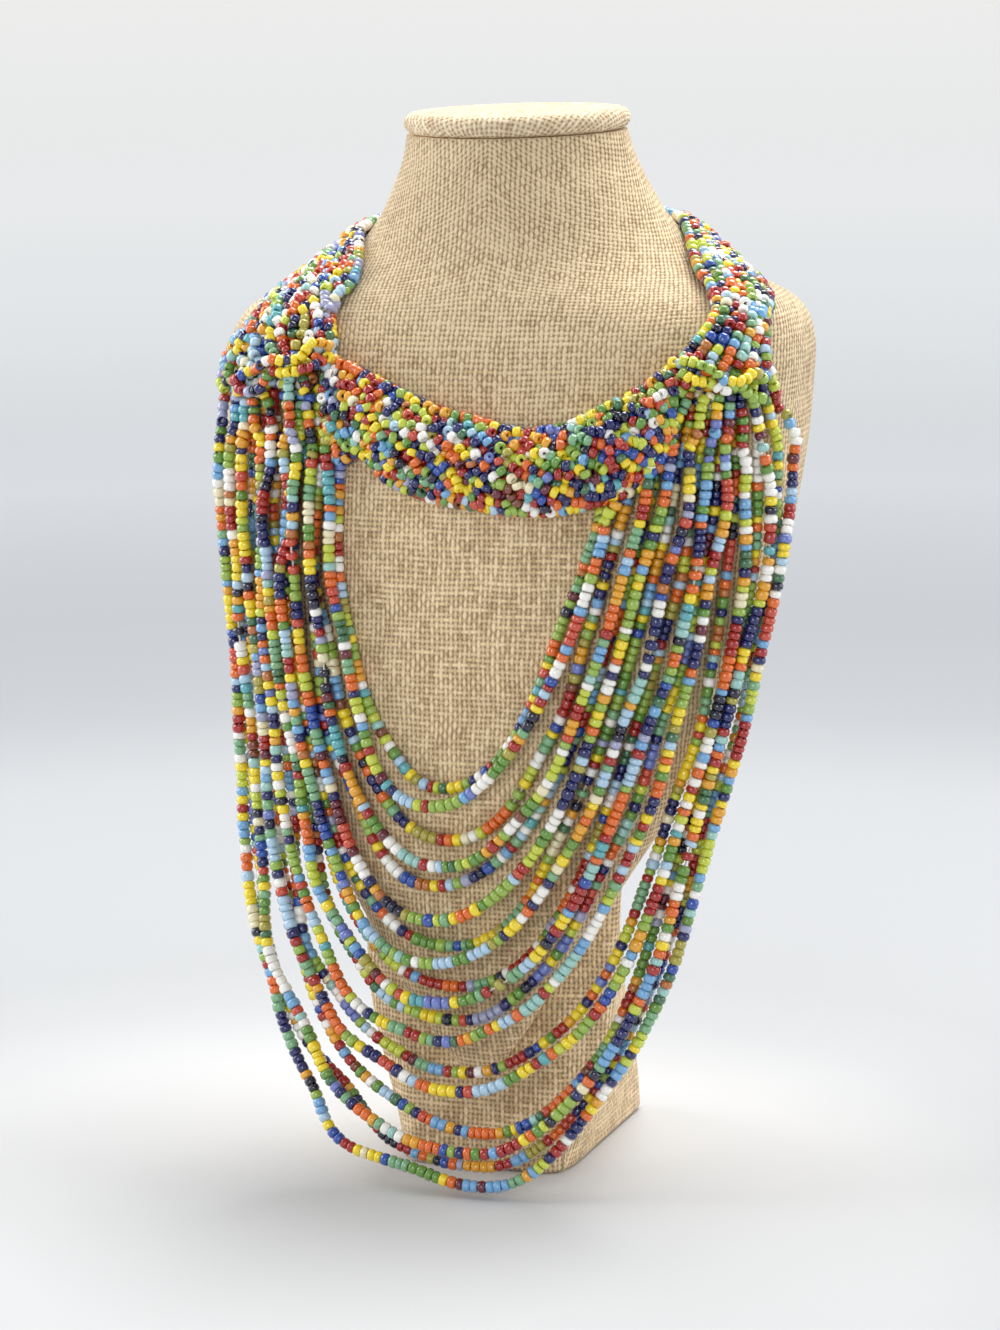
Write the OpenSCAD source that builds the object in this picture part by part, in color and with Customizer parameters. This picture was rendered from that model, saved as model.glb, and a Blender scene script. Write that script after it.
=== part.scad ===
// A beaded choker with long nested drapes, held on its cloth-covered neck bust.
// Z is up, the front looks along -Y, and the origin is on the table under the middle of the bust.
// Every necklace piece is laid on the bust by functions, so it follows the bust's sizes.

/* [Bust] */
// Width over the shoulders
shoulder_w = 190; // [182:1:198]
// Height of the neck's top edge above the table
neck_top = 326; // [320:1:332]
// Width of the oval cap
cap_w = 73; // [72:1:80]
// Depth of the oval cap from front to back
cap_d = 61; // [60:1:68]
// Thickness of the padded cap
cap_t = 6.5; // [6:0.5:10]

/* [Necklace] */
// Diameter of one strand of beads
strand_d = 4; // [3.6:0.1:4]
// Clear space that each strand and bundle keeps
clear = 0.4; // [0.3:0.05:0.5]
// Thickness of the twisted band over the front of the neck
collar_t = 10; // [8:0.5:11]
// Diameter of the closure behind the neck
clasp_d = 6; // [5:0.5:7]
// Length of the closure
clasp_len = 12; // [10:0.5:14]

/* [Detail] */
// Points around each section of the bust
bust_points = 36; // [32:4:48]
// Height between two sections of the bust
bust_step = 12; // [9:0.5:14]
// Spacing of the rings along a strand
ring_step = 14; // [11:0.5:16]

/* [Hidden] */

// The tables below are for this shoulder width and neck height, and scale from them.
table_w = 190;
table_h = 326;
kx = shoulder_w / table_w;
kz = neck_top / table_h;

// Sections of the bust, from the tip of the chest up to the neck's top edge.
// height, half width, front y, back y, y of the widest place, roundness, middle x, lean
SECTIONS = [
  [34, 6, -42, -30, -38, 2, 0, 0],
  [44, 14, -46, -26, -40, 2, 0, 0],
  [60, 24, -50, -20, -40, 2, 0, 0],
  [79, 36, -53, -10, -37, 2, 0, 0],
  [98, 48, -55, 6, -32, 2.1, 0, 0],
  [117, 59, -56, 22, -24, 2.2, 0, 0],
  [140, 70, -56, 34, -16, 2.3, 0, 0],
  [168, 81, -54, 42, -8, 2.4, 0, 0.4],
  [196, 89, -51, 48, 0, 2.4, 0, 0.8],
  [224, 93.5, -46, 52, 7, 2.5, 0, 1.2],
  [248, 95, -41, 53, 12, 2.6, 0, 1.5],
  [263, 94.5, -37, 53, 14, 2.6, 0, 1.5],
  [272, 89.5, -33, 53, 15, 2.5, 0, 1.5],
  [278, 79, -30, 53, 16, 2.3, 0, 1.5],
  [283, 67, -27, 53, 17, 2.1, 0, 1.5],
  [290, 55.5, -23, 52, 18, 2, 0, 1.5],
  [300, 46.5, -19, 51, 18, 2, -0.5, 1.5],
  [310, 41, -16, 50, 18, 2, -1, 1.5],
  [318, 37.5, -13, 49, 18, 2, -1.5, 1.5],
  [326, 35.5, -12, 48, 18, 2, -2, 1.5],
];

// Sections of the foot block, from the table up into the chest.
// height, half width of the front panel, of the sides, of the back, y of the three
FOOT = [
  [0, 25, 28, 31.5, -39, -32, 39],
  [12, 25, 31, 31.5, -39, -30, 38],
  [33, 25, 38, 30, -38, -28, 32],
  [56, 25, 42.5, 28, -37, -28.5, 26],
  [95, 24, 44, 28, -34, -25, 24],
  [135, 24, 45, 30, -30, -22, 22],
];
foot_round = 5;

// The drapes, from the innermost down, by where they lie on the chest seen from the front.
// left x, right x, x and z of the lowest point, fullness left and right, layer at ends and bottom,
// and how far up the right leg goes before the collar hides it, of 1
DRAPES = [
  [-41, 50, -4.5, 129.5, 2, 1, 0, 0, 0.85],
  [-43.4, 53, -7.5, 124.5, 2, 1.05, 0.85, 1, 0.855],
  [-45.8, 56, -3, 113, 2.1, 1.1, 0, 0, 0.88],
  [-48.2, 59, -5, 105.5, 2.1, 1.15, 0.85, 1, 1],
  [-50.6, 61.5, -8.5, 98, 2.2, 1.2, 0, 0, 1],
  [-53, 64, -8.5, 88, 2.2, 1.2, 0.85, 1, 1],
  [-55.4, 66.5, -5.5, 79, 2.3, 1.25, 0, 0, 1],
  [-57.8, 69, -8.5, 74, 2.4, 1.3, 0.9, 1, 1],
  [-60.2, 71.5, -2, 66, 2.4, 1.35, 0, 0, 1],
  [-62.6, 73.5, -5.5, 61.5, 2.5, 1.4, 0.95, 1, 1],
  [-65, 75.5, -2.5, 55, 2.6, 1.45, 0, 0, 1],
  [-67.4, 77.5, -5, 49, 2.6, 1.5, 0.85, 1, 1],
  [-69.8, 80.5, -2.5, 38, 2.8, 1.95, 0, 0, 1],
  [-72.2, 82, -2.5, 33, 2.8, 1.95, 0.9, 1, 1],
  [-74.6, 84.5, 9, 20, 3.1, 1.68, 0, 1, 1],
  [-77, 86.5, 4, 14.5, 3.25, 1.67, 1, 2, 1],
  [-79.4, 88.5, 7, 9, 3.3, 1.62, 0, 1, 1],
  [-81.8, 91, 7.5, 4, 3.5, 1.5, 1, 2, 1],
];
drape_top = 240;
strand_sides = 8;

// Bundles and bands lie on the bust between two edges, given by angle around the bust and height.
// The angle is 0 at the right side, 90 at the back, 180 at the left side and 270 in front.
// angle and height of the upper edge, angle and height of the lower edge, thickness, lift
NAPE_LEFT = [
  [97.6, 297, 97.6, 291, 5, 0],
  [108, 299, 108, 290, 6, 0],
  [125, 299, 126, 288, 6, 0],
  [145, 298.5, 147, 286.5, 6, 0],
  [166.8, 297.5, 169.3, 285.5, 6, 0],
];
SHOULDER_LEFT = [
  [168, 297.5, 170.5, 285.5, 5.5, 0.3],
  [186, 296.5, 189, 283.5, 5.5, 0.3],
  [206, 293.5, 203, 280, 5.5, 0.3],
  [224, 287.5, 213, 275.5, 6, 0.3],
  [236.5, 281, 218, 271, 7, 0.3],
  [243.5, 273.5, 218, 266.5, 8, 0.3],
  [248, 266.5, 213, 261.5, 9, 0.3],
  [249, 257, 208, 254, 9.5, 0.3],
  [249, 248, 207, 246.5, 9.5, 0.3],
  [249, 241, 207, 240.5, 9.5, 0.3],
];
NAPE_RIGHT = [
  [82.2, 297, 82.2, 291, 5, 0],
  [72, 299, 72, 290, 6, 0],
  [55, 299, 54, 287, 6, 0],
  [35, 298, 32, 284.5, 6, 0],
  [11.3, 296.5, 8.8, 282, 6, 0],
];
SHOULDER_RIGHT = [
  [10, 296.5, 7.5, 282, 6, 0.3],
  [-2, 293, -3, 280, 6, 0.3],
  [-14, 288.5, -9, 276.5, 6, 0.3],
  [-26, 283, -18, 272, 6.5, 0.3],
  [-35, 277.5, -25, 267.5, 7.5, 0.3],
  [-42, 271.5, -27.5, 263.5, 8.5, 0.3],
  [-49, 265, -27.5, 259, 9.5, 0.3],
  [-55, 259, -26, 254, 9.5, 0.3],
  [-57, 251, -23, 247.5, 9.5, 0.3],
  [-57, 241, -20, 240.5, 9.5, 0.3],
];
COLLAR = [
  [251.5, 260, 251.5, 247, 7, 0.3],
  [255, 257.5, 254.5, 231, 9, 0.3],
  [260.5, 253.5, 260, 222, 10, 0.3],
  [268, 246.5, 267.5, 216.5, 10, 0.3],
  [276, 240, 276, 213.5, 10, 0.3],
  [284, 241.5, 284.5, 213.5, 10, 0.3],
  [291, 247, 291.5, 216, 10, 0.3],
  [297.5, 251, 297.5, 221, 9, 0.3],
  [301.3, 257, 301.3, 238, 7, 0.3],
];
// The wraps cross the front of each shoulder bundle, so they are lifted over its thickness.
WRAP_LEFT = [
  [251.5, 268, 251.5, 262, 4, 0.3],
  [249.7, 265.5, 249.7, 258.5, 4, 6.5],
  [241, 260, 241, 252, 4, 10.2],
  [232, 256.5, 232, 248.5, 4, 10.2],
  [222, 254, 222, 246, 4, 10.2],
];
WRAP_RIGHT = [
  [-60, 265.5, -60, 259.5, 4, 0.3],
  [-57, 263, -57, 256, 4, 6.5],
  [-49, 259, -49, 251, 4, 10.3],
  [-40, 256, -40, 248, 4, 10.4],
  [-31, 254, -31, 246, 4, 10.4],
];
band_points = 14;
edge_round = 0.75;

// Mixes two lists, and reads one column of a table as pairs for lookup.
function mix(a, b, m) = a + (b - a) * m;
function column(table, i) = [for (row = table) [row[0], row[i]]];
function bend(v, power) = sign(v) * pow(abs(v), power);

// Smooth value between two rows of a table: a cubic through the rows next to them.
function slope_at(pairs, k) =
  let (a = pairs[max(0, k - 1)], b = pairs[min(len(pairs) - 1, k + 1)]) (b[1] - a[1]) / (b[0] - a[0]);
function row_before(pairs, z) = max([for (k = [0:len(pairs) - 2]) pairs[k][0] <= z ? k : 0]);
function smooth_value(pairs, z) =
  let (k = row_before(pairs, z), a = pairs[k], b = pairs[k + 1], h = b[0] - a[0])
  let (u = min(1, (z - a[0]) / h), m0 = slope_at(pairs, k) * h, m1 = slope_at(pairs, k + 1) * h)
  (2 * pow(u, 3) - 3 * pow(u, 2) + 1) * a[1] + (pow(u, 3) - 2 * pow(u, 2) + u) * m0
  + (3 * pow(u, 2) - 2 * pow(u, 3)) * b[1] + (pow(u, 3) - pow(u, 2)) * m1;

// The bust's sections at even steps, in real sizes, and their columns for lookup.
low_z = SECTIONS[0][0];
step_count = ceil((table_h - low_z) / bust_step);
RINGS = [for (i = [0:step_count]) let (z = mix(low_z, table_h, i / step_count))
  [z * kz, smooth_value(column(SECTIONS, 1), z) * kx, smooth_value(column(SECTIONS, 2), z),
    smooth_value(column(SECTIONS, 3), z), smooth_value(column(SECTIONS, 4), z),
    smooth_value(column(SECTIONS, 5), z), smooth_value(column(SECTIONS, 6), z),
    smooth_value(column(SECTIONS, 7), z)]];
HALF_W = column(RINGS, 1);
FRONT_Y = column(RINGS, 2);
BACK_Y = column(RINGS, 3);
WIDEST_Y = column(RINGS, 4);
ROUNDNESS = column(RINGS, 5);
MIDDLE_X = column(RINGS, 6);
LEAN = column(RINGS, 7);

// Point of the bust at an angle and a height. Grow moves the section outwards.
function bust_point(angle, z, grow = 0) =
  let (power = 2 / lookup(z, ROUNDNESS), middle = lookup(z, WIDEST_Y))
  let (reach = (sin(angle) > 0 ? lookup(z, BACK_Y) - middle : middle - lookup(z, FRONT_Y)) + grow)
  let (x = (lookup(z, HALF_W) + grow) * bend(cos(angle), power))
  [x + lookup(z, MIDDLE_X), middle + reach * bend(sin(angle), power), z + x * tan(lookup(z, LEAN))];

// Outward direction of the bust there, from the points next to it.
beside = 2;
function bust_normal(angle, z) =
  let (across = bust_point(angle + beside, z) - bust_point(angle - beside, z))
  let (along = bust_point(angle, z + beside) - bust_point(angle, z - beside), n = cross(across, along))
  n / norm(n);

// Front of the chest at x and z, and the furthest forward that it gets at z or above.
function chest_y(x, z) =
  let (z1 = z - x * tan(lookup(z, LEAN)), power = lookup(z1, ROUNDNESS), middle = lookup(z1, WIDEST_Y))
  let (side = min(1, abs(x - lookup(z1, MIDDLE_X)) / lookup(z1, HALF_W)))
  middle - (middle - lookup(z1, FRONT_Y)) * pow(1 - pow(side, power), 1 / power);
hang_top = 246 * kz;
hang_step = 12;
function hang_y(x, z) =
  min([for (i = [0:max(0, floor((hang_top - z) / hang_step))]) let (up = z + i * hang_step)
    abs(x) <= lookup(up, HALF_W) ? chest_y(x, up) : 0]);

// Route of a drape: it lies on the chest, and below the chest's furthest point it hangs straight.
// It keeps the layer of its ends for most of its legs, and takes the other one near its lowest point.
leg_curve = 0.45;
layer_curve = 4;
steepest = 2.5;
function drape_point(d, s) =
  let (down = sin(90 * (1 - abs(s))), end_x = s < 0 ? d[0] : d[1], fullness = s < 0 ? d[4] : d[5])
  let (x = mix(d[2], end_x, pow(max(0, 1 - pow(down, fullness)), leg_curve)) * kx)
  let (top = drape_top + end_x * tan(lookup(drape_top, LEAN)))
  let (z = mix(top, d[3], down) * kz, y = hang_y(x, z))
  let (turn = (hang_y(x + beside, z) - hang_y(x - beside, z)) / (2 * beside))
  let (turn = max(-steepest, min(steepest, turn)), layer = mix(d[6], d[7], pow(down, layer_curve)))
  let (away = strand_d / 2 + clear + layer * (strand_d + clear), size = norm([1, turn]))
  [x + away * turn / size, y - away / size, z];
function drape_route(d) =
  let (count = ceil((2 * (drape_top - d[3]) + (d[1] - d[0])) / ring_step))
  [for (i = [0:count]) drape_point(d, mix(-1, d[8], i / count))];

// Ring of a tube at point i of a route, square to the route there.
function tangent(route, i) =
  let (t = route[min(len(route) - 1, i + 1)] - route[max(0, i - 1)]) t / norm(t);
function tube_ring(route, i, radius, sides) =
  let (t = tangent(route, i), side = cross(t, [0, 1, 0]), u = side / norm(side), v = cross(u, t))
  [for (k = [0:sides - 1]) let (a = 360 * k / sides) route[i] + radius * (u * cos(a) + v * sin(a))];

// Ring of a band between its two edges, laid on the bust.
function band_ring(row) =
  [for (k = [0:band_points - 1])
    let (a = 360 * k / band_points, m = (1 + cos(a)) / 2)
    let (angle = mix(row[2], row[0], m), z = mix(row[3], row[1], m) * kz)
    let (away = clear + row[5] + row[4] / 2 * (1 + bend(sin(a), edge_round)))
    bust_point(angle, z) + bust_normal(angle, z) * away];
function between_rows(table, parts) =
  [for (i = [0:len(table) - 2], j = [0:parts - 1]) mix(table[i], table[i + 1], j / parts)];
function band_rings(table, parts) =
  [for (row = concat(between_rows(table, parts), [table[len(table) - 1]])) band_ring(row)];

// Section of the foot with rounded corners.
function foot_corner(p, before, after) =
  let (a = p + foot_round * (before - p) / norm(before - p))
  let (b = p + foot_round * (after - p) / norm(after - p))
  [for (m = [0, 0.5, 1]) mix(mix(a, p, m), mix(p, b, m), m)];
function foot_ring(row) =
  let (p = [[-row[1], row[4]], [row[1], row[4]], [row[2], row[5]], [row[3], row[6]],
    [-row[3], row[6]], [-row[2], row[5]]])
  [for (i = [0:5]) each [for (q = foot_corner(p[i], p[(i + 5) % 6], p[(i + 1) % 6]))
    [q[0] * kx, q[1], row[0] * kz]]];

// Solid through a list of rings that all have the same number of points.
module loft(rings, turned = false) {
  n = len(rings[0]);
  last = (len(rings) - 1) * n;
  sides = [for (r = [0:len(rings) - 2], k = [0:n - 1]) let (a = r * n + k, b = r * n + (k + 1) % n)
    each [[a, a + n, b + n], [a, b + n, b]]];
  ends = [[for (k = [0:n - 1]) k], [for (k = [n - 1:-1:0]) last + k]];
  faces = concat(sides, ends);
  flipped = [for (f = faces) [for (i = [len(f) - 1:-1:0]) f[i]]];
  polyhedron([for (ring = rings) each ring], turned ? flipped : faces);
}

module bust_form(grow = 0) {
  loft([for (row = RINGS) [for (k = [0:bust_points - 1])
    bust_point(360 * k / bust_points, row[0], grow)]]);
}

module bust_body() {
  color("tan") bust_form();
}

// Padded oval disc, tilted as the neck's top edge is.
module bust_cap() {
  lift = 0.3;
  tilt = lookup(neck_top, LEAN);
  middle = [lookup(neck_top, MIDDLE_X), (lookup(neck_top, FRONT_Y) + lookup(neck_top, BACK_Y)) / 2];
  color("tan") loft([for (a = [-90, -60, -30, 0, 30, 60, 90])
    let (edge = 1 - cap_t / 2 * (1 - cos(a)) / (cap_w / 2), height = cap_t / 2 * (1 + sin(a)))
    [for (k = [0:bust_points - 1]) let (t = 360 * k / bust_points, x = cap_w / 2 * edge * cos(t))
      [x + middle[0], middle[1] + cap_d / 2 * edge * sin(t), neck_top + lift + height + x * tan(tilt)]]]);
}

module bust_foot() {
  pocket = 0.3;
  color("tan") difference() {
    loft([for (row = FOOT) foot_ring(row)]);
    for (drop = [0, 1]) translate([0, 0, -pocket * drop]) bust_form(pocket);
  }
}

module band(table, parts, turned) {
  loft(band_rings(table, parts), turned);
}

module collar_band() {
  middle_t = COLLAR[floor(len(COLLAR) / 2)][4];
  rows = [for (row = COLLAR) [row[0], row[1], row[2], row[3], row[4] * collar_t / middle_t, row[5]]];
  color("orange") band(rows, 2, false);
}

module shoulder_left() {
  color("gold") band(SHOULDER_LEFT, 2, false);
}

module shoulder_right() {
  color("gold") band(SHOULDER_RIGHT, 2, true);
}

module wrap_left() {
  color("firebrick") band(WRAP_LEFT, 2, true);
}

module wrap_right() {
  color("firebrick") band(WRAP_RIGHT, 2, false);
}

module nape_left() {
  color("seagreen") band(NAPE_LEFT, 2, false);
}

module nape_right() {
  color("seagreen") band(NAPE_RIGHT, 2, true);
}

// Plain closure behind the neck, between the two nape bundles.
module clasp() {
  height = (NAPE_LEFT[0][1] + NAPE_LEFT[0][3]) / 2;
  seat = bust_point(90, height * kz);
  color("silver") translate(seat + [0, clasp_d / 2 + clear, 0]) rotate([0, 90, 0])
    cylinder(h = clasp_len, d = clasp_d, center = true, $fn = 48);
}

module strand(number) {
  route = drape_route(DRAPES[number - 1]);
  rings = [for (i = [0:len(route) - 1]) tube_ring(route, i, strand_d / 2, strand_sides)];
  color("royalblue") loft(rings, true);
}

bust_body();
bust_cap();
bust_foot();
collar_band();
shoulder_left();
shoulder_right();
wrap_left();
wrap_right();
nape_left();
nape_right();
clasp();
strand(1);  // strand_01
strand(2);  // strand_02
strand(3);  // strand_03
strand(4);  // strand_04
strand(5);  // strand_05
strand(6);  // strand_06
strand(7);  // strand_07
strand(8);  // strand_08
strand(9);  // strand_09
strand(10);  // strand_10
strand(11);  // strand_11
strand(12);  // strand_12
strand(13);  // strand_13
strand(14);  // strand_14
strand(15);  // strand_15
strand(16);  // strand_16
strand(17);  // strand_17
strand(18);  // strand_18
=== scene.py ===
import math

import bpy
import numpy as np
from mathutils import Matrix, Vector


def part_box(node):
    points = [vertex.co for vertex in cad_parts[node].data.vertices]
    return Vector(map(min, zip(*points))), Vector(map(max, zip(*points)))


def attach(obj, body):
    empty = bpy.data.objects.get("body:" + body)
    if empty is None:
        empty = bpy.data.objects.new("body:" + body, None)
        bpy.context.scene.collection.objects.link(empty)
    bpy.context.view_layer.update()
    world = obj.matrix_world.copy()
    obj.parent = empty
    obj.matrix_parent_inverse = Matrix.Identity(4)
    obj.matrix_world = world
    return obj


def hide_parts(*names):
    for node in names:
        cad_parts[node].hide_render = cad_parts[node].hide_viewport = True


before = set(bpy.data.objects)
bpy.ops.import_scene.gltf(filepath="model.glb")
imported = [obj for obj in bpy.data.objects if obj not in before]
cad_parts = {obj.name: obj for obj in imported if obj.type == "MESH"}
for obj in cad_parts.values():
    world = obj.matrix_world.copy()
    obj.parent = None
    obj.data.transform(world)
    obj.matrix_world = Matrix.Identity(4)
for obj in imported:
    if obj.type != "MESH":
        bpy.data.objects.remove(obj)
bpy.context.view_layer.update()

MM = 0.001
AZ = math.radians(18.0)  # the photo was taken from this far to the right of the front

# The tables are in mm and degrees, and the same as in the source.
# The bust: height, half width, front, back, middle, roundness, shift to the side, slope of the section.
HALF, FRONT, BACK, MIDDLE, ROUND, SHIFT, SLOPE = range(1, 8)
SECTIONS = np.array([
    [34, 6, -42, -30, -38, 2, 0, 0], [44, 14, -46, -26, -40, 2, 0, 0], [60, 24, -50, -20, -40, 2, 0, 0],
    [79, 36, -53, -10, -37, 2, 0, 0], [98, 48, -55, 6, -32, 2.1, 0, 0], [117, 59, -56, 22, -24, 2.2, 0, 0],
    [140, 70, -56, 34, -16, 2.3, 0, 0], [168, 81, -54, 42, -8, 2.4, 0, 0.4], [196, 89, -51, 48, 0, 2.4, 0, 0.8],
    [224, 93.5, -46, 52, 7, 2.5, 0, 1.2], [248, 95, -41, 53, 12, 2.6, 0, 1.5], [263, 94.5, -37, 53, 14, 2.6, 0, 1.5],
    [272, 89.5, -33, 53, 15, 2.5, 0, 1.5], [278, 79, -30, 53, 16, 2.3, 0, 1.5], [283, 67, -27, 53, 17, 2.1, 0, 1.5],
    [290, 55.5, -23, 52, 18, 2, 0, 1.5], [300, 46.5, -19, 51, 18, 2, -0.5, 1.5], [310, 41, -16, 50, 18, 2, -1, 1.5],
    [318, 37.5, -13, 49, 18, 2, -1.5, 1.5], [326, 35.5, -12, 48, 18, 2, -2, 1.5]])
# The foot: height, half widths in front, in the middle and behind, and how far back these three are.
FOOT = np.array([
    [0, 25, 28, 31.5, -39, -32, 39], [12, 25, 31, 31.5, -39, -30, 38], [33, 25, 38, 30, -38, -28, 32],
    [56, 25, 42.5, 28, -37, -28.5, 26], [95, 24, 44, 28, -34, -25, 24], [135, 24, 45, 30, -30, -22, 22]], float)
# The drapes: left end, right end, place and height of the lowest point, fullness left and right, layer above and
# below, and how much of the right half there is.
DRAPES = [
    [-41, 50, -4.5, 129.5, 2, 1, 0, 0, 0.85], [-43.4, 53, -7.5, 124.5, 2, 1.05, 0.85, 1, 0.855],
    [-45.8, 56, -3, 113, 2.1, 1.1, 0, 0, 0.88], [-48.2, 59, -5, 105.5, 2.1, 1.15, 0.85, 1, 1],
    [-50.6, 61.5, -8.5, 98, 2.2, 1.2, 0, 0, 1], [-53, 64, -8.5, 88, 2.2, 1.2, 0.85, 1, 1],
    [-55.4, 66.5, -5.5, 79, 2.3, 1.25, 0, 0, 1], [-57.8, 69, -8.5, 74, 2.4, 1.3, 0.9, 1, 1],
    [-60.2, 71.5, -2, 66, 2.4, 1.35, 0, 0, 1], [-62.6, 73.5, -5.5, 61.5, 2.5, 1.4, 0.95, 1, 1],
    [-65, 75.5, -2.5, 55, 2.6, 1.45, 0, 0, 1], [-67.4, 77.5, -5, 49, 2.6, 1.5, 0.85, 1, 1],
    [-69.8, 80.5, -2.5, 38, 2.8, 1.95, 0, 0, 1], [-72.2, 82, -2.5, 33, 2.8, 1.95, 0.9, 1, 1],
    [-74.6, 84.5, 9, 20, 3.1, 1.68, 0, 1, 1], [-77, 86.5, 4, 14.5, 3.25, 1.67, 1, 2, 1],
    [-79.4, 88.5, 7, 9, 3.3, 1.62, 0, 1, 1], [-81.8, 91, 7.5, 4, 3.5, 1.5, 1, 2, 1]]
# The bands: angle and height of the upper edge, the same of the lower edge, thickness, distance from the cloth.
THICK = 4
NAPE_LEFT = [[97.6, 297, 97.6, 291, 5, 0], [108, 299, 108, 290, 6, 0], [125, 299, 126, 288, 6, 0],
             [145, 298.5, 147, 286.5, 6, 0], [166.8, 297.5, 169.3, 285.5, 6, 0]]
SHOULDER_LEFT = [
    [168, 297.5, 170.5, 285.5, 5.5, 0.3], [186, 296.5, 189, 283.5, 5.5, 0.3], [206, 293.5, 203, 280, 5.5, 0.3],
    [224, 287.5, 213, 275.5, 6, 0.3], [236.5, 281, 218, 271, 7, 0.3], [243.5, 273.5, 218, 266.5, 8, 0.3],
    [248, 266.5, 213, 261.5, 9, 0.3], [249, 257, 208, 254, 9.5, 0.3], [249, 248, 207, 246.5, 9.5, 0.3],
    [249, 241, 207, 240.5, 9.5, 0.3]]
NAPE_RIGHT = [[82.2, 297, 82.2, 291, 5, 0], [72, 299, 72, 290, 6, 0], [55, 299, 54, 287, 6, 0],
              [35, 298, 32, 284.5, 6, 0], [11.3, 296.5, 8.8, 282, 6, 0]]
SHOULDER_RIGHT = [
    [10, 296.5, 7.5, 282, 6, 0.3], [-2, 293, -3, 280, 6, 0.3], [-14, 288.5, -9, 276.5, 6, 0.3],
    [-26, 283, -18, 272, 6.5, 0.3], [-35, 277.5, -25, 267.5, 7.5, 0.3], [-42, 271.5, -27.5, 263.5, 8.5, 0.3],
    [-49, 265, -27.5, 259, 9.5, 0.3], [-55, 259, -26, 254, 9.5, 0.3], [-57, 251, -23, 247.5, 9.5, 0.3],
    [-57, 241, -20, 240.5, 9.5, 0.3]]
COLLAR = [
    [251.5, 260, 251.5, 247, 7, 0.3], [255, 257.5, 254.5, 231, 9, 0.3], [260.5, 253.5, 260, 222, 10, 0.3],
    [268, 246.5, 267.5, 216.5, 10, 0.3], [276, 240, 276, 213.5, 10, 0.3], [284, 241.5, 284.5, 213.5, 10, 0.3],
    [291, 247, 291.5, 216, 10, 0.3], [297.5, 251, 297.5, 221, 9, 0.3], [301.3, 257, 301.3, 238, 7, 0.3]]
WRAP_LEFT = [[251.5, 268, 251.5, 262, 4, 0.3], [249.7, 265.5, 249.7, 258.5, 4, 6.5], [241, 260, 241, 252, 4, 10.2],
             [232, 256.5, 232, 248.5, 4, 10.2], [222, 254, 222, 246, 4, 10.2]]
WRAP_RIGHT = [[-60, 265.5, -60, 259.5, 4, 0.3], [-57, 263, -57, 256, 4, 6.5], [-49, 259, -49, 251, 4, 10.3],
              [-40, 256, -40, 248, 4, 10.4], [-31, 254, -31, 246, 4, 10.4]]
CLEAR = 0.4  # between the cloth and what lies on it, and between the layers
STRAND_D = 4.0
LAST = len(DRAPES)
HANG_Z = 240.0  # where the drapes come out of the wraps
CAP_W, CAP_D, CAP_T = 73.0, 61.0, 6.5
LOW, TOP = 34.0, 326.0  # heights of the chest's lower end and of the neck's edge


def smooth_value(col, z):
    """Cubic through the rows of SECTIONS next to z."""
    p = SECTIONS[:, [0, col]]
    k = max([i for i in range(len(p) - 1) if p[i, 0] <= z])
    a, b = p[k], p[k + 1]
    h = b[0] - a[0]

    def slope(i):
        q, r = p[max(0, i - 1)], p[min(len(p) - 1, i + 1)]
        return (r[1] - q[1]) / (r[0] - q[0])
    u = (z - a[0]) / h
    m0, m1 = slope(k) * h, slope(k + 1) * h
    return ((2 * u**3 - 3 * u**2 + 1) * a[1] + (u**3 - 2 * u**2 + u) * m0
            + (3 * u**2 - 2 * u**3) * b[1] + (u**3 - u**2) * m1)


FINE_Z = np.linspace(LOW, TOP, 147)
FINE = {c: np.array([smooth_value(c, z) for z in FINE_Z]) for c in range(1, 8)}


def look(col, z):
    """One column of SECTIONS at a height."""
    return np.interp(z, FINE_Z, FINE[col])


def bend(v, power):
    return np.sign(v) * np.abs(v) ** power


def unit(v):
    return v / np.maximum(np.linalg.norm(v, axis=-1, keepdims=True), 1e-12)


def hump(x, middle, reach):
    return np.exp(-(((x - middle) / reach) ** 2))


def ease(f):
    return f * f * (3 - 2 * f)


def curve(a, knee, b, m):
    """From a to b with a bend towards knee, for m from 0 to 1."""
    return (a * (1 - m) + knee * m) * (1 - m) + (knee * (1 - m) + b * m) * m


def smoothed(values, kernel):
    """Running average. kernel holds the weights, or is a number of equal ones."""
    kernel = np.ones(kernel) / kernel if isinstance(kernel, int) else kernel
    return np.convolve(np.pad(values, len(kernel) // 2, mode="edge"), kernel, "valid")


def along(path):
    """Length of the path up to each point."""
    return np.concatenate([[0.0], np.cumsum(np.linalg.norm(np.diff(path, axis=0), axis=1))])


def at(table, places, s):
    """What a table has at s, when its rows are at the given places."""
    return np.stack([np.interp(s, places, column) for column in table.T], -1)


def bust_point(angle, z):
    """Point of the bust's surface. angle is 0 on the right and 270 in front."""
    a = np.radians(angle)
    power = 2 / look(ROUND, z)
    mid = look(MIDDLE, z)
    reach = np.where(np.sin(a) > 0, look(BACK, z) - mid, mid - look(FRONT, z))
    x = look(HALF, z) * bend(np.cos(a), power)
    y = mid + reach * bend(np.sin(a), power)
    return np.stack(np.broadcast_arrays(x + look(SHIFT, z), y, z + x * np.tan(np.radians(look(SLOPE, z)))), -1)


def bust_normal(angle, z):
    across = bust_point(angle + 2, z) - bust_point(angle - 2, z)
    return unit(np.cross(across, bust_point(angle, z + 2) - bust_point(angle, z - 2)))


def chest_y(x, z):
    """How far in front the chest is."""
    z1 = z - x * np.tan(np.radians(look(SLOPE, z)))
    power, mid = look(ROUND, z1), look(MIDDLE, z1)
    side = np.minimum(1, np.abs(x - look(SHIFT, z1)) / look(HALF, z1))
    return mid - (mid - look(FRONT, z1)) * (1 - side**power) ** (1 / power)


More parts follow.
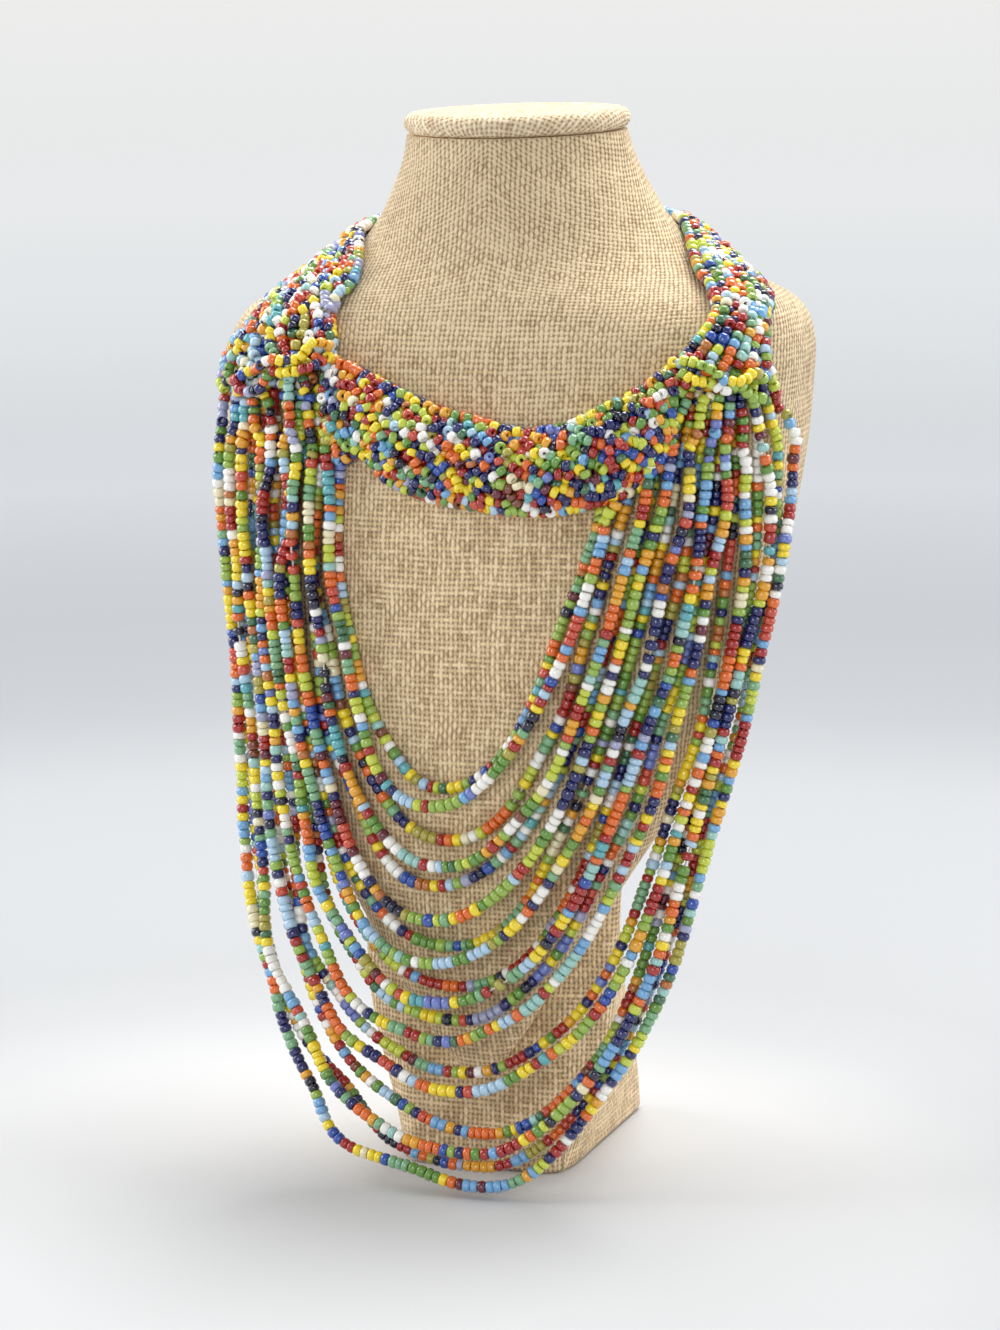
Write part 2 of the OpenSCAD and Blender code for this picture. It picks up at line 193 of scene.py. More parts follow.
def hang_y(x, z):
    """How far in front a string hangs there: it falls straight down from the foremost point above it, which is looked
    for in steps up to the shoulders."""
    shoulder_z, rise = 246, 3.0
    best = np.zeros(x.shape)
    for i in range(80):
        up = z + i * rise
        ok = (np.abs(x) <= look(HALF, up)) & ((up <= shoulder_z) | (i == 0))
        best = np.minimum(best, np.where(ok, chest_y(x, up), 0.0))
    return best


def drape_path(d, s):
    """A drape's middle line, for s from -1 at its left end over 0 at its lowest point to 1."""
    left, right, low_x, low_z, full_left, full_right, layer_above, layer_below, _ = d
    down = np.sin(np.pi / 2 * (1 - np.abs(s)))
    end_x = np.where(s < 0, left, right)
    x = low_x + (end_x - low_x) * np.maximum(0, 1 - down ** np.where(s < 0, full_left, full_right)) ** 0.45
    top = HANG_Z + end_x * math.tan(math.radians(look(SLOPE, HANG_Z)))
    z = top + (low_z - top) * down
    y = hang_y(x, z)
    turn = np.clip((hang_y(x + 2, z) - hang_y(x - 2, z)) / 4, -2.5, 2.5)
    layer = layer_above + (layer_below - layer_above) * down**4
    away = STRAND_D / 2 + CLEAR + layer * (STRAND_D + CLEAR)
    size = np.sqrt(1 + turn**2)
    return np.stack([x + away * turn / size, y - away / size, z], -1)


# Meshes from arrays
def ring_quads(rows, sides):
    """Faces between rings of points."""
    i, k = np.meshgrid(np.arange(rows - 1), np.arange(sides), indexing="ij")
    on = (k + 1) % sides
    return np.stack([i * sides + k, i * sides + on, (i + 1) * sides + on, (i + 1) * sides + k], -1).reshape(-1, 4)


def end_caps(rows, sides):
    """The faces that close the first and the last ring."""
    return [list(range(sides - 1, -1, -1)), list(range((rows - 1) * sides, rows * sides))]


def new_object(name, data):
    obj = bpy.data.objects.new(name, data)
    bpy.context.scene.collection.objects.link(obj)
    return obj


def make_piece(name, verts, quads, mats, mat_index=None, caps=(), uvs=None):
    """A mesh object from arrays in mm. caps are further faces of any size, as lists of vertices. uvs has one row for
    each corner of each face."""
    sizes = np.array([4] * len(quads) + [len(c) for c in caps])
    loops = np.concatenate([quads.ravel(), *caps]).astype(np.int32)
    mesh = bpy.data.meshes.new(name)
    mesh.vertices.add(len(verts))
    mesh.vertices.foreach_set("co", (np.asarray(verts, np.float32) * MM).ravel())
    mesh.loops.add(len(loops))
    mesh.loops.foreach_set("vertex_index", loops)
    mesh.polygons.add(len(sizes))
    mesh.polygons.foreach_set("loop_start", np.concatenate([[0], np.cumsum(sizes)[:-1]]).astype(np.int32))
    for m in mats:
        mesh.materials.append(m)
    if mat_index is not None:
        mesh.polygons.foreach_set("material_index", np.asarray(mat_index, np.int32))
    mesh.polygons.foreach_set("use_smooth", np.full(len(sizes), True))
    mesh.update(calc_edges=True)
    if uvs is not None:
        layer = mesh.uv_layers.new(name="weave")
        layer.data.foreach_set("uv", np.asarray(uvs, np.float32).ravel())
    return new_object(name, mesh)


def dress(obj, slot, *nodes):
    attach(obj, "root")
    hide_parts(*nodes)


# Materials
def linear(rgb):
    """Screen colour of 0 to 255 as linear light, opaque."""
    return tuple(c / 12.92 if c <= 0.04045 else ((c + 0.055) / 1.055) ** 2.4 for c in (v / 255 for v in rgb)) + (1.0,)


class Nodes:
    """Short calls for one node graph."""

    def __init__(self, tree):
        self.tree = tree

    def new(self, kind):
        return self.tree.nodes.new("ShaderNode" + kind)

    def feed(self, node, inputs):
        """Inputs by name or number: numbers and colours are set, and outputs of other nodes are linked."""
        for key, value in inputs.items():
            if isinstance(value, (int, float, tuple)):
                node.inputs[key].default_value = value
            else:
                self.tree.links.new(value, node.inputs[key])
        return node.outputs[0]

    def math(self, op, *values, clamp=False):
        node = self.new("Math")
        node.operation, node.use_clamp = op, clamp
        return self.feed(node, dict(enumerate(values)))

    def add(self, a, b):
        return self.math("ADD", a, b)

    def sub(self, a, b):
        return self.math("SUBTRACT", a, b)

    def mul(self, a, b):
        return self.math("MULTIPLY", a, b)

    def centred(self, a, size):
        """Turns 0 to 1 into that size around 0."""
        return self.mul(self.sub(a, 0.5), size)

    def vector(self, *values):
        return self.feed(self.new("CombineXYZ"), dict(enumerate(values)))

    def split(self, vec):
        node = self.new("SeparateXYZ")
        self.feed(node, {0: vec})
        return node.outputs

    def noise(self, vec, scale, detail=2.0, rough=0.5):
        return self.feed(self.new("TexNoise"), {"Vector": vec, "Scale": scale, "Detail": detail, "Roughness": rough})

    def by_height(self, v, chest, neck):
        """A value that changes from the chest's cloth to the neck's."""
        return self.feed(self.new("MapRange"), {0: v, 1: CHEST_V, 2: NECK_V, 3: chest, 4: neck})

    def ramp(self, fac, stops):
        node = self.new("ValToRGB")
        elements = node.color_ramp.elements
        while len(elements) < len(stops):
            elements.new(0.5)
        for element, (place, colour) in zip(elements, stops):
            element.position, element.color = place, (*colour[:3], 1.0)
        return self.feed(node, {0: fac})

    def mix(self, fac, a, b, mode="MIX"):
        node = self.new("Mix")
        node.data_type, node.blend_type = "RGBA", mode
        self.feed(node, {0: fac, 6: a, 7: b})
        return node.outputs[2]


def new_material(name, inputs=None):
    """A material, its shader with the given inputs, and its graph."""
    mat = bpy.data.materials.new(name)
    mat.use_nodes = True
    shader, n = mat.node_tree.nodes["Principled BSDF"], Nodes(mat.node_tree)
    n.feed(shader, inputs or {})
    return mat, shader, n


CHEST_V, NECK_V = 70.0, 125.0  # in the weave map: up to here the chest, from here on the neck


def cloth_material(name, pitch_u, pitch_v, seed, light=(240, 220, 184), dark=(176, 147, 108), painted_light_tones=None):
    """Plain-woven coarse linen. The weave map is in mm: u around, v up. Each yarn has its own tone and slubs.
    painted_light_tones is painted light: how much lighter or darker the chest's and the neck's colour is made,
    standing in for how the lamps fall there."""
    mat, shader, n = new_material(name, {"Specular IOR Level": 0.25, "Sheen Weight": 0.12, "Sheen Roughness": 0.5})
    weave = n.new("UVMap")
    weave.uv_map = "weave"
    u0, v0, _ = n.split(weave.outputs[0])
    plain = n.vector(u0, v0, seed)
    # The yarns wander slowly, and each is a little uneven.
    slow, swing, shake, slub = 0.045, 2.2, 0.42, 0.55
    wander_u = n.centred(n.noise(plain, slow), swing)
    wander_v = n.centred(n.noise(n.vector(v0, u0, seed + 40.0), slow), swing)
    u = n.mul(n.add(u0, wander_u), 1 / pitch_u)
    v = n.mul(n.add(v0, wander_v), 1 / pitch_v)
    u = n.add(u, n.centred(n.noise(plain, 0.5), shake))
    i, j = n.math("FLOOR", u), n.math("FLOOR", v)
    slub_u = n.noise(n.vector(n.mul(i, 7.31), n.mul(v, 0.16), seed), 1.0, 3.0, 0.6)
    slub_v = n.noise(n.vector(n.mul(u, 0.16), n.mul(j, 5.77), seed + 9.0), 1.0, 3.0, 0.6)
    # Each yarn is round, and goes over and under in turn.
    round_u = n.math("COSINE", n.centred(n.math("FRACT", u), math.pi))
    round_v = n.math("COSINE", n.centred(n.math("FRACT", v), math.pi))
    over_u = n.math("SINE", n.mul(n.add(v, i), math.pi))
    over_v = n.mul(n.math("SINE", n.mul(n.add(u, j), math.pi)), -1.0)
    # The weave stands out more on the neck.
    grain, ridge = n.by_height(v0, 0.12, 0.24), n.by_height(v0, 0.60, 0.74)
    high_u = n.add(n.mul(round_u, ridge), n.math("MULTIPLY_ADD", over_u, grain, 0.07))
    high_v = n.add(n.mul(round_v, 0.52), n.math("MULTIPLY_ADD", over_v, grain, 0.04))
    high_u = n.add(high_u, n.centred(slub_u, slub))
    high_v = n.add(high_v, n.centred(slub_v, slub))
    high = n.math("MAXIMUM", high_u, high_v)
    on_u = n.math("GREATER_THAN", high_u, high_v)
    tone = n.add(n.mul(slub_u, on_u), n.mul(slub_v, n.sub(1.0, on_u)))
    # The colour follows the weave's height. This is the yarns' pattern and also painted shade: the hollows between
    # the yarns are darker, and the deepest hollows darker still.
    level = n.math("ADD", n.mul(high, 1.25), n.sub(tone, 0.68), clamp=True)
    mid = tuple((a + b) / 2 for a, b in zip(light, dark))
    deep = tuple(c * 0.72 for c in dark)
    colour = n.ramp(level, [(0.02, linear(deep)), (0.26, linear(dark)), (0.52, linear(mid)), (0.82, linear(light))])
    patches = n.mul(n.noise(plain, 0.02, 3.0), 0.18)
    colour = n.mix(patches, colour, linear((236, 214, 178)))
    fibre = n.noise(n.vector(n.mul(u0, 9.0), n.mul(v0, 9.0), seed), 1.0, 2.0, 0.7)
    colour = n.mix(n.mul(fibre, 0.3), colour, n.mix(1.0, colour, colour, "MULTIPLY"))
    # Painted light: the colour is made lighter or darker from the chest to the neck, standing in for how the lamps
    # fall there.
    if painted_light_tones:
        colour = n.mix(1.0, colour, n.by_height(v0, *painted_light_tones), "MULTIPLY")
    bump = n.feed(n.new("Bump"), {"Strength": 1.0, "Distance": 0.0005, "Height": n.add(high, n.mul(fibre, 0.18))})
    n.feed(shader, {"Base Color": colour, "Roughness": n.add(n.mul(fibre, 0.2), 0.72), "Normal": bump})
    return mat


def brass_material():
    """Worn brass with fine lines along it."""
    mat, shader, n = new_material("aged_brass", {"Metallic": 1.0})
    here = n.new("TexCoord").outputs["Object"]
    lines = n.noise(n.feed(n.new("Mapping"), {0: here, "Scale": (300.0, 6000.0, 6000.0)}), 1.0)
    colour = n.ramp(n.noise(here, 900.0, 4.0, 0.6), [(0.3, linear((120, 88, 44))), (0.6, linear((196, 160, 88)))])
    n.feed(shader, {"Base Color": colour, "Roughness": n.add(n.mul(lines, 0.3), 0.2)})
    return mat


# name, colour, how often, roughness
GLASS = [
    ("navy", (20, 28, 98), 11, 0.24), ("ink", (11, 14, 50), 3, 0.22), ("cobalt", (38, 80, 170), 4, 0.24),
    ("sky", (118, 174, 222), 7, 0.3), ("pale_sky", (180, 212, 236), 5, 0.34), ("periwinkle", (112, 128, 200), 2, 0.3),
    ("turquoise", (96, 176, 184), 2, 0.3), ("aqua", (160, 208, 200), 3, 0.34), ("sea", (126, 178, 132), 6, 0.32),
    ("pine", (64, 114, 78), 3, 0.28), ("green", (104, 152, 58), 7, 0.28), ("leaf", (154, 186, 74), 7, 0.3),
    ("lime", (202, 214, 66), 6, 0.3), ("olive", (176, 166, 68), 3, 0.32), ("yellow", (250, 222, 34), 10, 0.28),
    ("gold", (236, 168, 36), 6, 0.28), ("orange", (232, 108, 26), 9, 0.26), ("amber", (190, 112, 46), 2, 0.28),
    ("brick", (170, 30, 24), 10, 0.24), ("coral", (206, 74, 50), 3, 0.26), ("maroon", (104, 24, 44), 2, 0.24),
    ("brown", (126, 66, 40), 1, 0.28), ("white", (252, 250, 244), 10, 0.34), ("cream", (244, 234, 196), 2, 0.34),
    ("lilac", (168, 172, 204), 2, 0.32)]
GLOSS = {"IOR": 1.52, "Coat Weight": 1.0, "Coat Roughness": 0.09}
GLASS_MATS = [new_material("glass_" + name, {"Base Color": linear(rgb), "Roughness": rough, **GLOSS})[0]
              for name, rgb, _, rough in GLASS]
GLASS_MATS.append(new_material("thread", {"Base Color": linear((226, 222, 208)), "Roughness": 0.75})[0])
THREAD = len(GLASS)
WEIGHTS = np.array([g[2] for g in GLASS], float)
WEIGHTS /= WEIGHTS.sum()


def tinted(changes):
    """How often each colour comes, when some come more or less often."""
    out = WEIGHTS * np.array([changes.get(g[0], 1.0) for g in GLASS])
    return out / out.sum()


# Beads. PROFILE is a bead's section on one side of its hole, in shares of its radius and its length.
PROFILE = np.array([(0.32, -0.40), (0.78, -0.50), (1.0, -0.25), (1.0, 0.25), (0.78, 0.50), (0.32, 0.40)])
SIDES = 10
PITCH = 2.58  # along the strings of a bundle or band
BAND_R = 1.84  # radius of the beads there
BEAD_FACES = len(PROFILE) * SIDES  # as many as a bead has vertices


def circles(axes, sides):
    """A circle of radius 1 across each axis."""
    ref = np.where(np.abs(axes[:, 2:3]) < 0.9, [[0.0, 0.0, 1.0]], [[1.0, 0.0, 0.0]])
    u = unit(np.cross(axes, ref))
    v = np.cross(axes, u)
    ang = 2 * np.pi * np.arange(sides) / sides
    return np.cos(ang)[None, :, None] * u[:, None, :] + np.sin(ang)[None, :, None] * v[:, None, :]


def bead_arrays(centre, axis, radius, length):
    """Every bead is the same small lathed ring with a hole through it."""
    r = PROFILE[:, 0][None, :, None, None] * radius[:, None, None, None]
    h = PROFILE[:, 1][None, :, None, None] * length[:, None, None, None]
    verts = centre[:, None, None, :] + r * circles(axis, SIDES)[:, None, :, :] + h * axis[:, None, None, :]
    one = ring_quads(len(PROFILE) + 1, SIDES) % BEAD_FACES
    quads = one[None] + (np.arange(len(centre)) * BEAD_FACES)[:, None, None]
    return verts.reshape(-1, 3), quads.reshape(-1, 4)


def leant(axis, lean, rng):
    """Each direction turned a little its own way. lean is how much, as a tangent."""
    return unit(axis + lean * rng.normal(0, 0.7, axis.shape))


def colour_run(count, rng, weights=WEIGHTS):
    """Random sequence of colours in short runs, as the beads were picked up by the needle."""
    out = []
    while len(out) < count:
        c = rng.choice(len(GLASS), p=weights)
        out += [c] * int(rng.choice([1, 2, 3, 4], p=[0.76, 0.17, 0.05, 0.02]))
    return np.array(out[:count])


class BeadWork:
    """Collects beads and threads, and joins them into one mesh."""

    def __init__(self, seed):
        self.rng = np.random.default_rng(seed)
        self.parts = []
        self.verts = 0

    def add(self, verts, quads, index):
        self.parts.append((verts, quads + self.verts, index))
        self.verts += len(verts)

    def lay(self, centre, axis, radius, size, colour, tilt):
        """Beads at given places, tilted by some degrees."""
        lean = np.tan(np.radians(np.broadcast_to(tilt, len(centre))))[:, None]
        axis = leant(axis, lean, self.rng)
        fat = radius * np.clip(self.rng.normal(1.0, 0.05, len(centre)), 0.86, 1.12)
        self.add(*bead_arrays(centre, axis, fat, size), np.repeat(colour, BEAD_FACES))

    def thread(self, path, radius=0.32, sides=5):
        verts = path[:, None, :] + radius * circles(unit(np.gradient(path, axis=0)), sides)
        quads = ring_quads(len(path), sides)
        self.add(verts.reshape(-1, 3), quads, np.full(len(quads), THREAD))

    def string(self, path, radius, length, tilt, bare=0.0, threaded=True, end_tilt=0.0, weights=WEIGHTS):
        """One string whose beads fill its whole length. bare is how often some thread shows between two beads, and
        end_tilt is how much more they are tilted near its ends."""
        rng, gap = self.rng, 0.03
        arc = along(path)
        total = arc[-1]
        count = int(total / length * 1.3) + 3
        size = length * np.clip(rng.normal(1.0, 0.13, count), 0.68, 1.45)
        space = gap + rng.exponential(gap, count)
        if bare:
            space = space + np.where(rng.random(count) < bare, rng.uniform(1.5, 4.5, count), 0.0)
        fits = int((np.cumsum(size + space) < total + length * 0.4).sum())
        scale = total / (size + space)[:fits].sum()
        size, space = size[:fits] * scale, space[:fits] * scale
        mid = np.cumsum(size + space) - (size + space) / 2
        axis = unit(at(path, arc, np.minimum(mid + 1.2, total)) - at(path, arc, np.maximum(mid - 1.2, 0)))
        near_end = np.exp(-np.minimum(mid, total - mid) / 12.0)
        self.lay(at(path, arc, mid), axis, radius, size, colour_run(fits, rng, weights), tilt + end_tilt * near_end)
        if threaded:
            self.thread(at(path, arc, np.linspace(0, total, int(total / 3.0))))

    def piece(self, name, *nodes):
        verts, quads, index = (np.concatenate(arrays) for arrays in zip(*self.parts))
        dress(make_piece(name, verts, quads, GLASS_MATS, index), "glass_beads", *nodes)


def smooth_noise(count, scale, rng):
    """Smooth random curve of about unit size over count points that are 1 mm apart."""
    knots = max(4, int(count / scale) + 3)
    raw = rng.normal(0, 1, knots)
    x = np.linspace(0, knots - 1, count)
    k = np.minimum(x.astype(int), knots - 2)
    f = ease(x - k)
    return raw[k] * (1 - f) + raw[k + 1] * f


# Bands of many strings
def band_point(row, m, dist):
    """row is one row of a band's table or many, and m runs from the band's lower edge to its upper edge."""
    high_angle, high_z, low_angle, low_z, _, lifted = np.moveaxis(row, -1, 0)
    angle = low_angle + (high_angle - low_angle) * m
    z = low_z + (high_z - low_z) * m
    away = CLEAR + lifted + dist
    return bust_point(angle, z) + bust_normal(angle, z) * np.asarray(away)[..., None]


def fine_rows(table):
    """The table's rows 1 mm apart along the middle of the band, and the width there."""
    table = np.asarray(table, float)
    t = np.linspace(0, len(table) - 1, 60 * (len(table) - 1) + 1)
    rows = np.stack([smoothed(column, 41) for column in at(table, np.arange(len(table)), t).T], -1)
    arc = along(band_point(rows, 0.5, rows[:, THICK] / 2))
    rows = at(rows, arc, np.linspace(0, arc[-1], int(arc[-1])))
    m = np.linspace(0, 1, 13)
    edge = np.stack([band_point(rows, k, rows[:, THICK] * 0.7) for k in m], 1)
    width = np.linalg.norm(np.diff(edge, axis=1), axis=2).sum(1)
    return rows, width


def weave_strings(rows, width, q, d, rng, sep, r, jumble=0.0, stir=0.0, hold=0):
    """Leads strings along a band from its last row back to its first. q is each one's place across and d its depth.
    In each section they are circles of radius r that push each other apart, up to sep. Where the band narrows, the
    deepest of the strings that don't fit ends. jumble lets them stray, and stir turns them round each other."""
    n = len(q)
    keep, push_share, turns, drop = 0.92, 0.28, 14, 0.85
    live = np.ones(n, bool)
    track = np.full((len(rows), n, 2), np.nan)
    vq, vd = np.zeros(n), np.zeros(n)
    last = width[-1]

    def gaps():
        """The strings that still run, and the distances between them."""
        k = np.where(live)[0]
        dq, dd = q[k][:, None] - q[k][None], d[k][:, None] - d[k][None]
        return k, dq, dd, np.sqrt(dq**2 + dd**2) + np.eye(len(k)) * 99

    for step in range(len(rows) - 1, -1, -1):
        w, thick = width[step], rows[step, THICK]
        q = q * w / last
        last = w
        vq = keep * vq + rng.normal(0, 1, n) * jumble * 0.16
        vd = keep * vd + rng.normal(0, 1, n) * jumble * 0.10
        q, d = q + vq, d + vd
        if stir:
            a, b = (q - w / 2) / (w / 2), (d - thick / 2) / (thick / 2)
            size = np.maximum(np.abs(a), np.abs(b)) + 1e-6
            q = q + stir * b / size
            d = d - stir * a / size * 0.8
        for _ in range(turns):
            k, dq, dd, dist = gaps()
            push = np.maximum(0, sep - dist) / np.maximum(dist, 0.3) * push_share
            q[k] += (push * dq).sum(1)
            d[k] += (push * dd).sum(1)
            q[k] = np.clip(q[k], r, w - r)
            d[k] = np.clip(d[k], r, thick - r)
        k, _, _, dist = gaps()
        track[step, k, 0], track[step, k, 1] = q[k] / w, d[k]
        if len(k) > 2 and step < len(rows) - hold and sep - dist.min() > drop:
            a, b = np.unravel_index(dist.argmin(), dist.shape)
            live[k[a] if d[k[a]] < d[k[b]] else k[b]] = False
    return track


def string_beads(width, track, rng, sway, lift, wave, calm):
    """Beads of the strings in a band's own flat coordinates: s along it, q across it, d away from the cloth, in mm.
    Each string sways and lifts its own way, in waves. calm is how much of that is left at each row."""
    place, links, first = [], [], 0
    for k in range(track.shape[1]):
        ok = np.where(~np.isnan(track[:, k, 0]))[0]
        if len(ok) < 5:
            continue
        q = track[ok, k, 0] * width[ok] + smooth_noise(len(ok), wave, rng) * sway * calm[ok]
        d = track[ok, k, 1] + smooth_noise(len(ok), wave, rng) * lift * calm[ok]
        path = np.stack([ok, q, d], -1)[::-1]
        arc = along(path)
        count = max(2, int(round(arc[-1] / PITCH)))
        beads = at(path, arc, (np.arange(count) + 0.5) * arc[-1] / count)
        place.append(beads)
        links.append(np.stack([np.arange(count - 1), np.arange(1, count)], -1) + first)
        first += count
    return np.concatenate(place), np.concatenate(links), np.repeat(np.arange(len(place)), [len(p) for p in place])


def settle(rows, width, beads, links, free, rng, sep=3.3, rough=1.6):
    """Pushes the beads apart inside the band, and keeps each string's beads next to each other. free is how freely
    each may move, and rough how far half of them may sink in."""
    r, share, turns, most = 1.75, 0.3, 34, 0.7
    step = np.arange(len(rows))
    sunk = rng.uniform(0, rough, len(beads)) * (rng.random(len(beads)) < 0.5)
    want = np.full((len(beads), len(beads)), sep)
    want[links[:, 0], links[:, 1]] = want[links[:, 1], links[:, 0]] = PITCH
    np.fill_diagonal(want, 0.0)
    for _ in range(turns):
        diff = beads[:, None, :] - beads[None, :, :]
        dist = np.sqrt((diff**2).sum(2)) + 1e-3
        push = np.maximum(0, want - dist) / dist * share
        move = (push[..., None] * diff).sum(1)
        pull = beads[links[:, 1]] - beads[links[:, 0]]
        long = np.linalg.norm(pull, axis=1, keepdims=True)
        pull = pull / long * np.maximum(0, long - PITCH * 1.08) * share
        np.add.at(move, links[:, 0], pull)
        np.add.at(move, links[:, 1], -pull)
        beads += np.clip(move, -most, most) * free[:, None]
        w = np.interp(beads[:, 0], step, width)
        thick = np.interp(beads[:, 0], step, rows[:, THICK])
        moved = beads.copy()
        moved[:, 0] = np.clip(beads[:, 0], 0.8, len(rows) - 1.8)
        moved[:, 1] = np.clip(beads[:, 1], r, w - r)
        a = np.clip(2 * moved[:, 1] / w - 1, -1, 1)  # the band's section is round on top
        top = thick * (0.3 + 0.7 * np.sqrt(1 - a**2))
        moved[:, 2] = np.clip(beads[:, 2], r, np.maximum(r + 0.2, top - r * 0.9 - sunk))
        beads = np.where(free[:, None] > 0, moved, beads)
    return beads


def place_beads(rows, width, beads):
    """From a band's flat coordinates to the bust."""
    step = np.arange(len(rows))
    return band_point(at(rows, step, beads[:, 0]), beads[:, 1] / np.interp(beads[:, 0], step, width), beads[:, 2])


def string_axes(centre, owner):
    """Direction of each bead's hole, from its neighbours on the string."""
    axis = np.zeros_like(centre)
    same = owner[1:] == owner[:-1]
    step = np.diff(centre, axis=0) * same[:, None]
    axis[:-1] += step
    axis[1:] += step
    return unit(axis + 1e-9)


# The bust
def lofted(name, points, mats, base, flat_below=None):
    """Closed piece through rings of points. The first point of each ring is at the back, where the cloth's seam is.
    Its weave map is in mm from the chest's middle: u around each ring, v along each meridian. base is the ring where
    v is 0, and up to the ring flat_below each ring has one v."""
    rings, n = points.shape[:2]
    around = np.linalg.norm(np.diff(points, axis=1, append=points[:, :1]), axis=2)
    rise = np.linalg.norm(np.diff(points, axis=0), axis=2)
    u = np.concatenate([np.zeros((rings, 1)), np.cumsum(around, 1)], 1)
    u = u - u[:, n // 2:n // 2 + 1]
    v = np.concatenate([np.zeros((1, n)), np.cumsum(rise, 0)], 0)
    v = v - v[base:base + 1]
    if flat_below is not None:
        front = v[:, n // 2:n // 2 + 1]
        above = front[flat_below] + v - v[flat_below:flat_below + 1]
        v = np.where(np.arange(rings)[:, None] <= flat_below, front, above)
    uv = np.stack([u, np.concatenate([v, v[:, :1]], 1)], -1)
    i, k = np.meshgrid(np.arange(rings - 1), np.arange(n), indexing="ij")
    corner = np.stack([uv[i, k], uv[i, k + 1], uv[i + 1, k + 1], uv[i + 1, k]], -2)
    uvs = np.concatenate([corner.reshape(-1, 2), points[0][::-1, :2], points[-1][:, :2]])
    return make_piece(name, points.reshape(-1, 3), ring_quads(rings, n), mats, caps=end_caps(rings, n), uvs=uvs)


# Painted light in the tones: the bust's chest is made lighter and its neck darker, and the foot is made lighter all
# over.
BODY_CLOTH = cloth_material("linen_bust", 1.54, 1.71, 3.0, painted_light_tones=(1.15, 0.93))
# The cap's linen is a lighter copy of the bust's: painted light, standing in for the bright light on the cap's top
# and rim.
CAP_CLOTH = cloth_material("linen_cap", 1.5, 1.55, 21.0, (246, 232, 206), (190, 164, 128))
FOOT_CLOTH = cloth_material("linen_foot", 1.57, 1.71, 33.0, painted_light_tones=(1.2, 1.15))

N_AROUND = 200
ring_angles = 90 + 360 * np.arange(N_AROUND) / N_AROUND
body_points = bust_point(ring_angles[None, :], FINE_Z[:, None])
waist, shoulders = (int(np.argmin(abs(FINE_Z - z))) for z in (150, 244))
body = lofted("bust_form", body_points, [BODY_CLOTH], waist, shoulders)
dress(body, "bust_cloth", "bust_body")


def foot_ring(row, corner=5.0, pieces=5):
    """One ring of the foot: six corners, each rounded off."""
    p = np.array([[-row[1], row[4]], [row[1], row[4]], [row[2], row[5]], [row[3], row[6]], [-row[3], row[6]],
                  [-row[2], row[5]]])
    out = []
    for i in range(6):
        before, after = p[(i + 5) % 6], p[(i + 1) % 6]
        a = p[i] + corner * unit(before - p[i])
        b = p[i] + corner * unit(after - p[i])
        side = (after - corner * unit(after - p[i])) - b
        out += [curve(a, p[i], b, m) for m in np.linspace(0, 1, pieces)]
        out += [b + side * m for m in np.linspace(0, 1, 8)[1:-1]]
    return np.concatenate([np.array(out), np.full((len(out), 1), row[0])], 1)


foot_z = np.concatenate([[0, 0.6, 1.6], np.arange(4, 136, 3.0)])
foot_rows = at(FOOT, FOOT[:, 0], foot_z)
for c in range(1, 7):
    foot_rows[:, c] = smoothed(foot_rows[:, c], 7)
for row, cut in ((0, 1.4), (1, 0.5)):  # the soft edge on the table
    foot_rows[row, 1:4] -= cut
    foot_rows[row, 4:6] += cut
    foot_rows[row, 6] -= cut
foot_points = np.array([foot_ring(r) for r in foot_rows])
start = int(np.argmin(np.abs(foot_points[0, :, 0]) - foot_points[0, :, 1] * 10))  # in the middle of the back
foot = lofted("bust_block", np.roll(foot_points, -start, 1), [FOOT_CLOTH], 10)
dress(foot, "bust_cloth", "bust_foot")

# The padded cap: a firm oval pad with a full rolled edge, a hair above the neck.
CAP_SIDES, CAP_GAP = 120, 0.3
tilt = math.tan(math.radians(look(SLOPE, TOP)))
cx, cy = look(SHIFT, TOP), (look(FRONT, TOP) + look(BACK, TOP)) / 2
roll = [math.radians(a) for a in np.linspace(-90, 90, 17)]
cap_rings = [(1 - CAP_T / 2 * (1 - math.cos(a)) / (CAP_W / 2), CAP_GAP + CAP_T / 2 * (1 + math.sin(a))) for a in roll]
cap_rings += [(inner, CAP_GAP + CAP_T) for inner in (0.8, 0.7, 0.55, 0.4, 0.25, 0.12, 0.04)]
t = 2 * np.pi * (0.25 + np.arange(CAP_SIDES) / CAP_SIDES)
cap_points = []
for edge, h in cap_rings:
    x, y = CAP_W / 2 * edge * np.cos(t), CAP_D / 2 * edge * np.sin(t)
    cap_points.append(np.stack([x + cx, y + cy, TOP + h + x * tilt], -1))
cap_points = np.array(cap_points)
# The cloth is pulled over the pad from its middle, so the weave runs straight across the top and slants on the edge.
far = along(cap_points[::-1, 0])[::-1, None] + 1.3
weave = np.stack([far * np.cos(t), far * np.sin(t)], -1).reshape(-1, 2)
quads, ends = ring_quads(len(cap_rings), CAP_SIDES), end_caps(len(cap_rings), CAP_SIDES)
cap = make_piece("bust_top_pad", cap_points.reshape(-1, 3), quads, [CAP_CLOTH], caps=ends,
                 uvs=weave[np.concatenate([quads.ravel(), *ends])])
dress(cap, "cap_cloth", "bust_cap")

# Drapes
ACROSS = np.array([math.cos(AZ), math.sin(AZ), 0.0])
HEIGHTS = np.arange(40.0, 239.0, 3.0)


def plain_path(d):
    """A drape's middle line in points 1 mm apart."""
    last = d[8] if d[8] == 1 else d[8] + 0.03
    path = drape_path(d, np.linspace(-1, last, 700))
    arc = along(path)
    return at(path, arc, np.linspace(0, arc[-1], int(arc[-1])))


def leg(path, right):
    """Where a string's left or right half is across the picture, at all HEIGHTS."""
    low = int(np.argmin(path[:, 2]))
    part = path[low:] if right else path[:low + 1][::-1]
    return np.interp(HEIGHTS, part[:, 2], part @ ACROSS, left=np.nan, right=np.nan)


PATHS = {number: plain_path(d) for number, d in enumerate(DRAPES, 1)}
LEGS = {(number, right): leg(path, right) for number, path in PATHS.items() for right in (False, True)}


